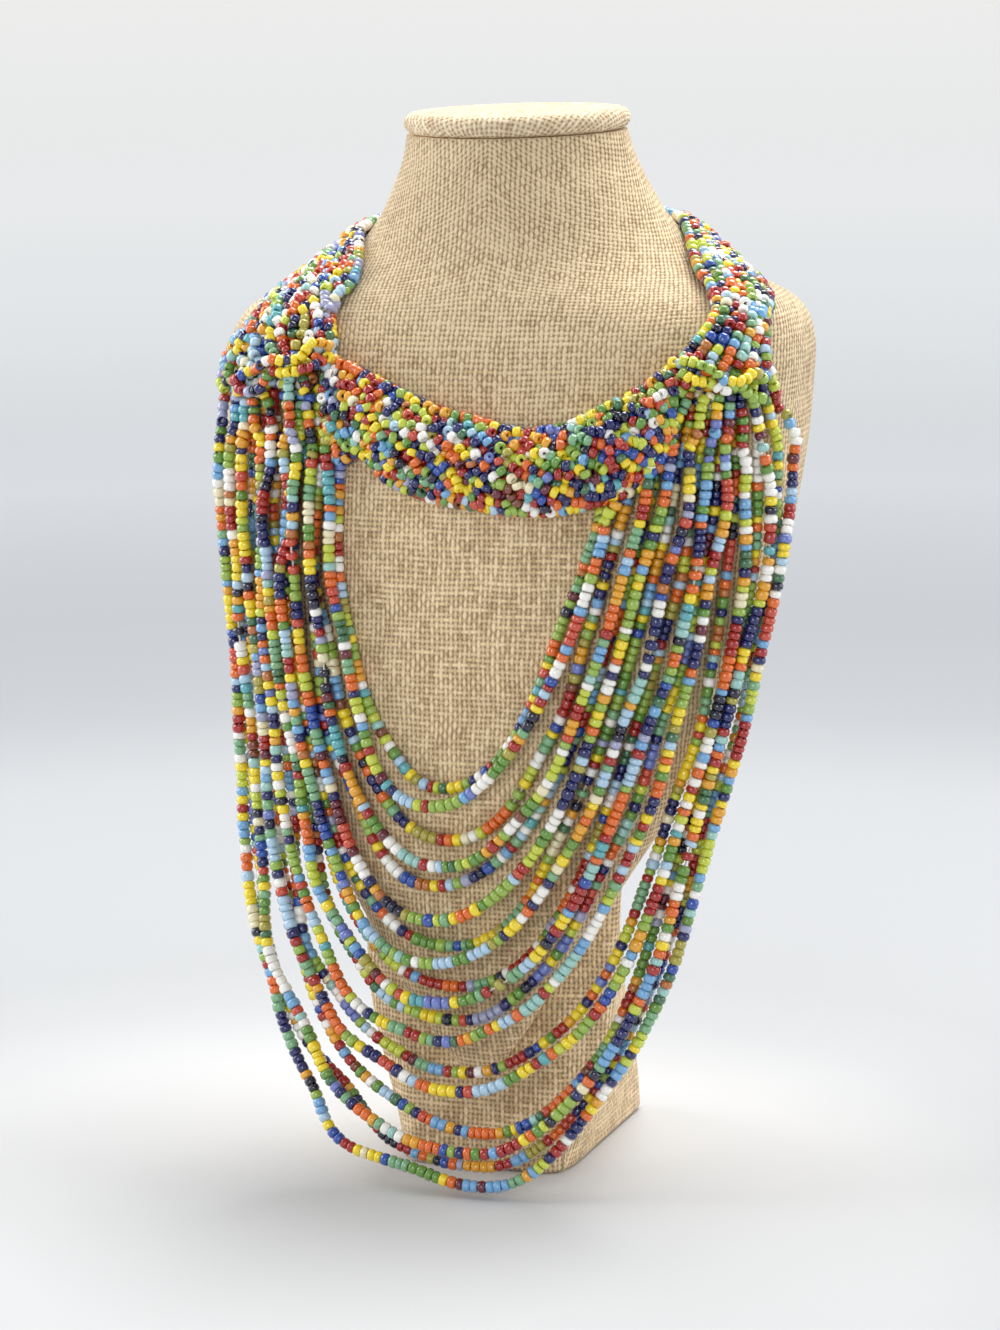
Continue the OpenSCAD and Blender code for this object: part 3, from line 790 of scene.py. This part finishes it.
def evened(number, right):
    """How far a string next to the cloth goes across, to lie midway between two strings that cover it."""
    own = LEGS[number, right]
    best, near = np.zeros(len(HEIGHTS)), 9.0
    for k in (number - 3, number - 1, number + 1):
        if k < 2 or k + 2 > LAST or number == LAST - 1 and k < LAST - 2:
            continue
        want = (LEGS[k, right] + LEGS[k + 2, right]) / 2 - own
        here = np.nanmean(np.where((HEIGHTS > 170) & (HEIGHTS < 225), want, np.nan))
        if abs(here) < near:
            near, best = abs(here), want
    bad = np.isnan(best)
    most = 2.6 if number == LAST - 1 else 1.7
    best = np.where(bad, 0.0, np.clip(best, -most, most)) * np.clip((HEIGHTS - HEIGHTS[~bad].min() - 4) / 30, 0, 1)
    return smoothed(best, 7)


def drawn_in(z, right, on_right):
    """How far the outermost string hangs nearer to the middle at some heights: the others follow in their order."""
    right_part = -2.6 * hump(z, 108, 32) - 3.6 * hump(z, 12, 32)
    return np.where(right, right_part * on_right, 4.6 * hump(z, 138, 46))


def lay_over(paths, near=3.75, turns=7):
    """Where two strings come closer than near, the one in front is lifted over the other."""
    kernel = np.exp(-((np.arange(-12, 13) / 5.0) ** 2))
    kernel /= kernel.sum()
    for _ in range(turns):
        lift = {k: np.zeros(len(p)) for k, p in paths.items()}
        for a, b in ((a, b) for a in paths for b in range(a + 1, min(a + 5, LAST) + 1)):
            p, q = paths[a], paths[b]
            dist = np.sqrt(((q[:, None, :] - p[None, :, :]) ** 2).sum(2))
            nearest = dist.argmin(1)
            k = np.where(dist.min(1) < near)[0]
            if not len(k):
                continue
            j = nearest[k]
            flat = np.sqrt((q[k, 0] - p[j, 0]) ** 2 + (q[k, 2] - p[j, 2]) ** 2)
            apart = np.abs(q[k, 1] - p[j, 1])
            need = np.maximum(0, np.sqrt(np.maximum(0, near ** 2 - flat ** 2)) - apart)
            if (q[k, 1] - p[j, 1]).mean() < 0:
                np.maximum.at(lift[b], k, need)
            else:
                np.maximum.at(lift[a], j, need)
        for k, up in lift.items():
            paths[k][:, 1] -= 0.8 * smoothed(up, kernel)


def stirred(number, path, rng):
    """A drape's path as the string really hangs: it wanders, and is loose at its ends."""
    n = len(path)
    s = np.arange(n)
    low = int(np.argmin(path[:, 2]))
    to_end, right_end = np.minimum(s, n - 1 - s) * 1.0, n - 1.0 - s
    fade = np.minimum(1, to_end / 25)
    on_right = np.clip((s - low) / 40.0, 0, 1)
    calm = 1 - 0.55 * on_right
    # side points across the string to the right, and fades to nothing at its lowest point.
    side = unit(np.cross(unit(np.gradient(path, axis=0)), [[0.0, 1.0, 0.0]]))
    side = side * np.where(side[:, 0:1] >= 0, 1.0, -1.0)
    side = side * (1 - hump(s, low, 14.0))[:, None]
    slow = smooth_noise(n, 75.0, rng) * 0.8 * fade * calm
    if number % 2 and number > 1:  # next to the cloth
        left, right = (np.interp(path[:, 2], HEIGHTS, evened(number, half)) for half in (False, True))
        slow = slow + np.where(s > low, right, left) / ACROSS[0]
    if number > 10:  # they leave the right wrap further in, and bulge below it
        slow = slow + (number - 10) / 8 * (2.3 * hump(right_end, 42, 24) - 3.0 * np.exp(-right_end / 15.0))
    slow = smoothed(slow, 11)
    low_left = hump(s / n, 0.36, 0.13) * (number > 9)
    loose = 0.6 + 1.1 * low_left + (0.9 * hump(to_end, 34, 26) * calm if number > 4 else 0.0)
    stir_ends = np.exp(-to_end / 13.0) * 1.2
    path = path + side * (slow + smooth_noise(n, 26.0, rng) * loose * fade
                          + smooth_noise(n, 19.0, rng) * low_left * 0.9
                          + smooth_noise(n, 7.0, rng) * stir_ends)[:, None]
    if number > 8:
        path[:, 0] += drawn_in(path[:, 2], s > low, on_right) * (number - 8) / 10
    return path


works = {number: BeadWork(100 + number) for number in PATHS}
for number, work in works.items():
    PATHS[number] = stirred(number, PATHS[number], work.rng)
lay_over(PATHS)
for number, work in works.items():
    thin = work.rng.uniform(0.0, 1.0)
    work.string(PATHS[number], 1.88 + 0.14 * thin, 2.44 + 0.16 * thin, tilt=5.0, bare=0.006, end_tilt=24.0)
    work.piece(f"beads_drape_{number:02d}", f"strand_{number:02d}")


# Shoulder and nape bundles
def bundle(side, nape, shoulder, numbers, seed, sway, lift, wave, tilt, extra, weights=WEIGHTS):
    """Gathers the drapes' strings over the shoulder and on to the closure. extra holds the places across and the
    depths of further strings."""
    rng = np.random.default_rng(seed)
    rows_s, width_s = fine_rows(shoulder)
    rows_n, width_n = fine_rows(nape)
    rows, width = np.concatenate([rows_n, rows_s]), np.concatenate([width_n, width_s])
    tops = np.array([PATHS[k][0 if side == "left" else -1] for k in numbers])
    span = np.linspace(0, 1, 60)
    low = band_point(rows[-1], span, rows[-1, THICK] / 2)
    q = np.concatenate([[span[np.argmin(np.abs(low[:, 0] - p[0]))] for p in tops], extra[0]])
    layer = np.array([DRAPES[k - 1][6] for k in numbers])
    depth = np.concatenate([2.05 + layer * (STRAND_D + CLEAR), extra[1]])
    track = weave_strings(rows, width, q * width[-1], depth, rng, sep=3.5, r=1.8, hold=12)
    last = len(rows) - 1
    for k in range(len(numbers), len(q)):  # the further strings end under the wrap
        track[len(rows) - int(rng.integers(5, 16)):, k] = np.nan
    calm = np.clip((last - np.arange(len(rows)) - 2) / 10, 0, 1)
    beads, links, owner = string_beads(width, track, rng, sway, lift, wave, calm)
    free = np.clip((last - beads[:, 0] - 1.5) / 8, 0, 1)
    beads = settle(rows, width, beads, links, free, rng)
    centre = place_beads(rows, width, beads)
    for k in range(len(numbers)):  # each of the others goes on in its own drape
        mine = owner == k
        off = tops[k] - band_point(rows[-1], track[-1, k, 0], track[-1, k, 1])
        blend = np.clip(1 - (last - beads[mine, 0]) / 28.0, 0, 1)
        centre[mine] += off * ease(blend)[:, None]
    axis = string_axes(centre, owner)
    size = 2.52 * np.clip(rng.normal(1.0, 0.1, len(centre)), 0.7, 1.25)
    colour = np.concatenate([colour_run(int((owner == k).sum()), rng, weights) for k in range(owner.max() + 1)])
    lean = np.where(last - beads[:, 0] < 10, 0.35, 1.0)
    axis = leant(axis, np.tan(np.radians(tilt)) * lean[:, None], rng)
    front = beads[:, 0] >= len(rows_n) - 0.5
    for mask, name, number in ((front, "shoulder", 1), (~front, "nape", 2)):
        work = BeadWork(seed + number)
        work.lay(centre[mask], axis[mask], BAND_R, size[mask], colour[mask], 3.0)
        if name == "nape":
            lo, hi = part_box("clasp")
            end_x = lo.x * 1000 + 1.2 if side == "left" else hi.x * 1000 - 1.2
            goal = np.array([end_x, (lo.y + hi.y) * 500, (lo.z + hi.z) * 500])
            t = np.linspace(0, 1, 7)[:, None]
            for k in np.unique(owner[beads[:, 0] < 4]):
                mine = np.where(owner == k)[0]
                near = centre[mine[np.argsort(beads[mine, 0])[:2]]]
                knee = near[0] * 0.6 + goal * 0.4 + (near[0] - near[1]) * 0.2
                work.thread(curve(near[0], knee, goal, t))
        work.piece(f"beads_{name}_{side}", f"{name}_{side}")


PALE = {"white": 1.7, "pale_sky": 1.8, "lilac": 2.6, "cream": 1.8, "coral": 1.6, "periwinkle": 1.6, "yellow": 0.6,
        "lime": 0.7, "leaf": 0.7, "green": 0.7}
bundle("left", NAPE_LEFT, SHOULDER_LEFT, range(1, LAST + 1), 300, 2.0, 1.3, 9.0, 24.0,
       ([0.1, 0.3, 0.5, 0.7, 0.9, 0.4], [6.9, 6.9, 7.2, 7.0, 6.9, 2.1]), tinted(PALE))
bundle("right", NAPE_RIGHT, SHOULDER_RIGHT, range(4, LAST + 1), 340, 0.9, 0.9, 10.0, 16.0,
       ([0.97, 0.93, 0.88, 0.6, 0.78, 0.4, 0.2], [2.1, 6.5, 2.1, 7.0, 7.0, 7.0, 7.0]))

# The twisted band over the front of the neck. Two halves are led from its ends to its middle.
# Its ends run on under the wraps and over the tops of the innermost drapes, so that no edge shows there.
shown = [[247.0, 262, 247.0, 231, 7.5, 0.3], [251.0, 260.5, 250.5, 227, 9, 0.3]] + COLLAR[1:-2]
shown += [[298, 252, 298.5, 219, 9.5, 0.3], [302.5, 258, 303.5, 223, 9.5, 0.3], [306, 262, 308, 230, 8.5, 0.3]]
rows, width = fine_rows(shown)
mid = int(len(rows) * 0.5)
rng = np.random.default_rng(410)
lanes = int((width[mid] - 3.4) / 3.5) + 1
outer, inner = np.linspace(1.8, width[mid] - 1.8, lanes), np.linspace(3.5, width[mid] - 3.5, lanes - 1)
q0, d0 = np.concatenate([outer, inner, outer]), np.repeat([1.8, 4.8, 7.8], [lanes, lanes - 1, lanes])
collar = BeadWork(400)
halves = []
for half, stir in ((slice(None, mid + 1), 0.8), (slice(None, mid - 1, -1), -0.8)):
    track = weave_strings(rows[half], width[half], q0, d0, rng, sep=3.3, r=1.7, jumble=0.5, stir=stir)
    halves.append(string_beads(width[half], track, rng, 2.0, 1.4, 8.0, np.ones(len(rows))))
(beads, links, owner), (beads_2, links_2, owner_2) = halves
beads_2[:, 0] = len(rows) - 1 - beads_2[:, 0]
links, owner = np.concatenate([links, links_2 + len(beads)]), np.concatenate([owner, owner_2 + owner.max() + 1])
beads = np.concatenate([beads, beads_2])
beads = settle(rows, width, beads, links, np.ones(len(beads)), rng, sep=3.25, rough=2.5)
centre = place_beads(rows, width, beads)
axis = string_axes(centre, owner)
MORE = {"navy": 1.6, "ink": 1.5, "brick": 1.4, "maroon": 1.4, "pine": 1.3, "orange": 1.3, "gold": 1.2, "white": 0.75,
        "cream": 0.6, "sky": 0.7, "pale_sky": 0.6, "aqua": 0.5, "lilac": 0.5}
colour = colour_run(len(centre), rng, tinted(MORE))
size = 2.5 * np.clip(rng.normal(1.0, 0.1, len(centre)), 0.7, 1.25)
collar.lay(centre, axis, 1.83, size, colour, 24.0)
collar.piece("beads_collar", "collar_band")

# Wraps: table, seed, how many rows the bundle hides, and the colours that stand out
for name, table, seed, lead, often in (
        ("left", WRAP_LEFT, 500, 8, ("orange", "brick", "yellow", "gold", "navy")),
        ("right", WRAP_RIGHT, 520, 13, ("lime", "yellow", "leaf", "white"))):
    work = BeadWork(seed)
    rows, weights = fine_rows(table)[0][lead:], tinted({c: 5.0 for c in often})
    for m in (0.24, 0.76):
        wave = smooth_noise(len(rows), 6.0, work.rng) * 0.16
        deep = 1.7 + smooth_noise(len(rows), 7.0, work.rng) * 0.9
        s = np.arange(len(rows))
        dive = np.clip(1 - s / 6.0, 0, 1) + np.clip((s - len(rows) + 7) / 6.0, 0, 1)
        path = band_point(rows, m + wave, deep - 2.0 * dive)
        work.string(path, 1.76, 2.42, tilt=22.0, threaded=False, weights=weights)
    work.piece(f"beads_wrap_{name}", f"wrap_{name}")

# Closure behind the neck: a turned barrel, whose outline is given in shares of its half length and radius.
lo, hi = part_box("clasp")
c = (lo + hi) / 2 * 1000
half, r0 = (hi.x - lo.x) * 500, (hi.z - lo.z) * 500
shape = [(1.0, 0.25), (0.985, 0.42), (0.93, 0.5), (0.86, 0.5), (0.83, 0.66), (0.78, 0.92), (0.7, 1.0), (0.62, 1.0),
         (0.57, 0.86), (0.5, 0.84), (0.2, 0.93), (0.06, 0.95), (0.03, 0.84)]
shape = [(-x, r) for x, r in shape] + shape[::-1]
AROUND = 40
ang = 2 * np.pi * np.arange(AROUND) / AROUND
pts = np.array([[(c.x + x * half, c.y + r * r0 * math.cos(a) * (1 - 0.03 * (k % 2) * (0.57 < abs(x) < 0.8)),
                  c.z + r * r0 * math.sin(a)) for k, a in enumerate(ang)] for x, r in shape])
quads, ends = ring_quads(len(shape), AROUND), end_caps(len(shape), AROUND)
clasp = make_piece("barrel_clasp", pts.reshape(-1, 3), quads, [brass_material()], caps=ends)
dress(clasp, "clasp_metal", "clasp")

# Floor, light and camera
# A wide round sweep of pale paper. Its colour is painted light and shade: lighter close round the bust and darker
# further out, with the middle of that shifted to the front left, where it lightens the bust's shadow. Far out the
# paper glows, painted light that makes it evenly bright, so that it is the same from every side.
stage_mat, shader, n = new_material(
    "stage_paper", {"Emission Strength": 1.0, "Roughness": 0.85, "Specular IOR Level": 0.1})
# The middle of the painted light is shifted to the front left, where it lightens the bust's shadow.
far = n.new("VectorMath")
far.operation = "DISTANCE"
n.feed(far, {0: n.new("TexCoord").outputs["Object"], 1: (-0.026, -0.114, 0.0)})
reach = n.math("POWER", n.mul(far.outputs["Value"], 1 / 12), 0.5, clamp=True)  # 1 is 12 m away
# Painted light and shade: the paper's colour is lighter close round the bust and darker further out.
painted_light_tones = n.ramp(reach, [(0.09, (0.62, 0.625, 0.63)), (0.125, (0.54, 0.545, 0.55)), (0.145, (0.455, 0.465, 0.475)),
                       (0.16, (0.43, 0.44, 0.45)), (0.225, (0.45, 0.46, 0.475)), (0.26, (0.395, 0.405, 0.42)),
                       (0.29, (0.385, 0.395, 0.41))])
# Painted light: far out the paper glows, though it is no lamp.
painted_glow = n.ramp(reach, [(0.25, (0.0, 0.0, 0.0)), (0.285, (0.085, 0.09, 0.1)), (0.31, (0.20, 0.21, 0.225)),
                      (0.34, (0.36, 0.375, 0.39)), (0.372, (0.43, 0.45, 0.46)), (0.41, (0.54, 0.56, 0.57)),
                      (0.45, (0.60, 0.62, 0.625)), (0.50, (0.65, 0.66, 0.66)), (0.72, (0.69, 0.69, 0.67)),
                      (0.95, (0.72, 0.72, 0.71))])
n.feed(shader, {"Base Color": painted_light_tones, "Emission Color": painted_glow})
STAGE_SIDES = 64
stage_r = [120, 300, 600, 1000, 1600, 2600, 4200, 7000, 11000, 16000]
turns = np.linspace(0, 2 * np.pi, STAGE_SIDES + 1)[:-1]
stage_pts = np.array([[(r * math.cos(a), r * math.sin(a), 0.0) for a in turns] for r in stage_r]).reshape(-1, 3)
stage_quads = ring_quads(len(stage_r), STAGE_SIDES)[:, ::-1]
stage = make_piece("floor_sweep", stage_pts, stage_quads, [stage_mat], caps=[list(range(STAGE_SIDES))])

# Name, place and aim in metres, size, power
for name, place, aim, size, power in (
        ("overhead", (0.1, 0.42, 1.15), (0.0, 0.05, 0.22), (0.9, 0.7), 18.0),
        ("left_soft", (-1.15, -0.15, 0.7), (0.0, 0.0, 0.12), (0.8, 1.1), 11.5),
        ("right_soft", (1.25, 0.2, 0.6), (0.0, 0.0, 0.08), (0.8, 1.1), 6.4),
        ("front_key", (0.06, -1.5, 0.6), (0.0, 0.0, 0.1), (0.4, 0.35), 4.6)):
    data = bpy.data.lights.new(name, "AREA")
    data.shape = "RECTANGLE"
    data.size, data.size_y = size
    data.energy = power
    light = new_object(name, data)
    light.location = place
    light.rotation_euler = (Vector(aim) - Vector(place)).to_track_quat("-Z", "Y").to_euler()
world = bpy.data.worlds.new("studio")
world.use_nodes = True
n = Nodes(world.node_tree)
height = n.split(n.new("TexCoord").outputs["Generated"])[2]
sky = n.ramp(height, [(0.0, (0.865, 0.868, 0.865)), (0.14, (0.82, 0.83, 0.84)), (0.26, (0.33, 0.335, 0.345))])
n.feed(world.node_tree.nodes["Background"], {0: sky, 1: 1.0})
bpy.context.scene.world = world
bpy.context.scene.view_settings.view_transform = "Standard"

# The camera, in mm. FOCAL and what it looks aside and up are in pixels of the photo, which is PHOTO_H high.
PHOTO_H, FOCAL, ASIDE, UPWARD = 1330, 4420.0, 24, 54
ROLL, AWAY = math.radians(0.7), 1400
aim = Vector((0.0, 13.0, 172.0))
place = Vector((aim.x + AWAY * math.sin(AZ), aim.y - AWAY * math.cos(AZ), 450.0))
fwd = (aim - place).normalized()
right = fwd.cross(Vector((0, 0, 1))).normalized()
up = right.cross(fwd)
right, up = right * math.cos(ROLL) - up * math.sin(ROLL), right * math.sin(ROLL) + up * math.cos(ROLL)
fwd = (fwd - right * (ASIDE / FOCAL) - up * (UPWARD / FOCAL)).normalized()
right = (right - fwd * right.dot(fwd)).normalized()
up = right.cross(fwd)
cam_data = bpy.data.cameras.new("camera")
cam_data.sensor_fit = "AUTO"
cam_data.sensor_width = 36.0
cam_data.lens = 36.0 * FOCAL / PHOTO_H
cam_data.clip_start, cam_data.clip_end = 0.05, 20.0
cam = new_object("camera", cam_data)
cam.matrix_world = Matrix((
    (right.x, up.x, -fwd.x, place.x * MM), (right.y, up.y, -fwd.y, place.y * MM),
    (right.z, up.z, -fwd.z, place.z * MM), (0, 0, 0, 1)))
bpy.context.scene.camera = cam
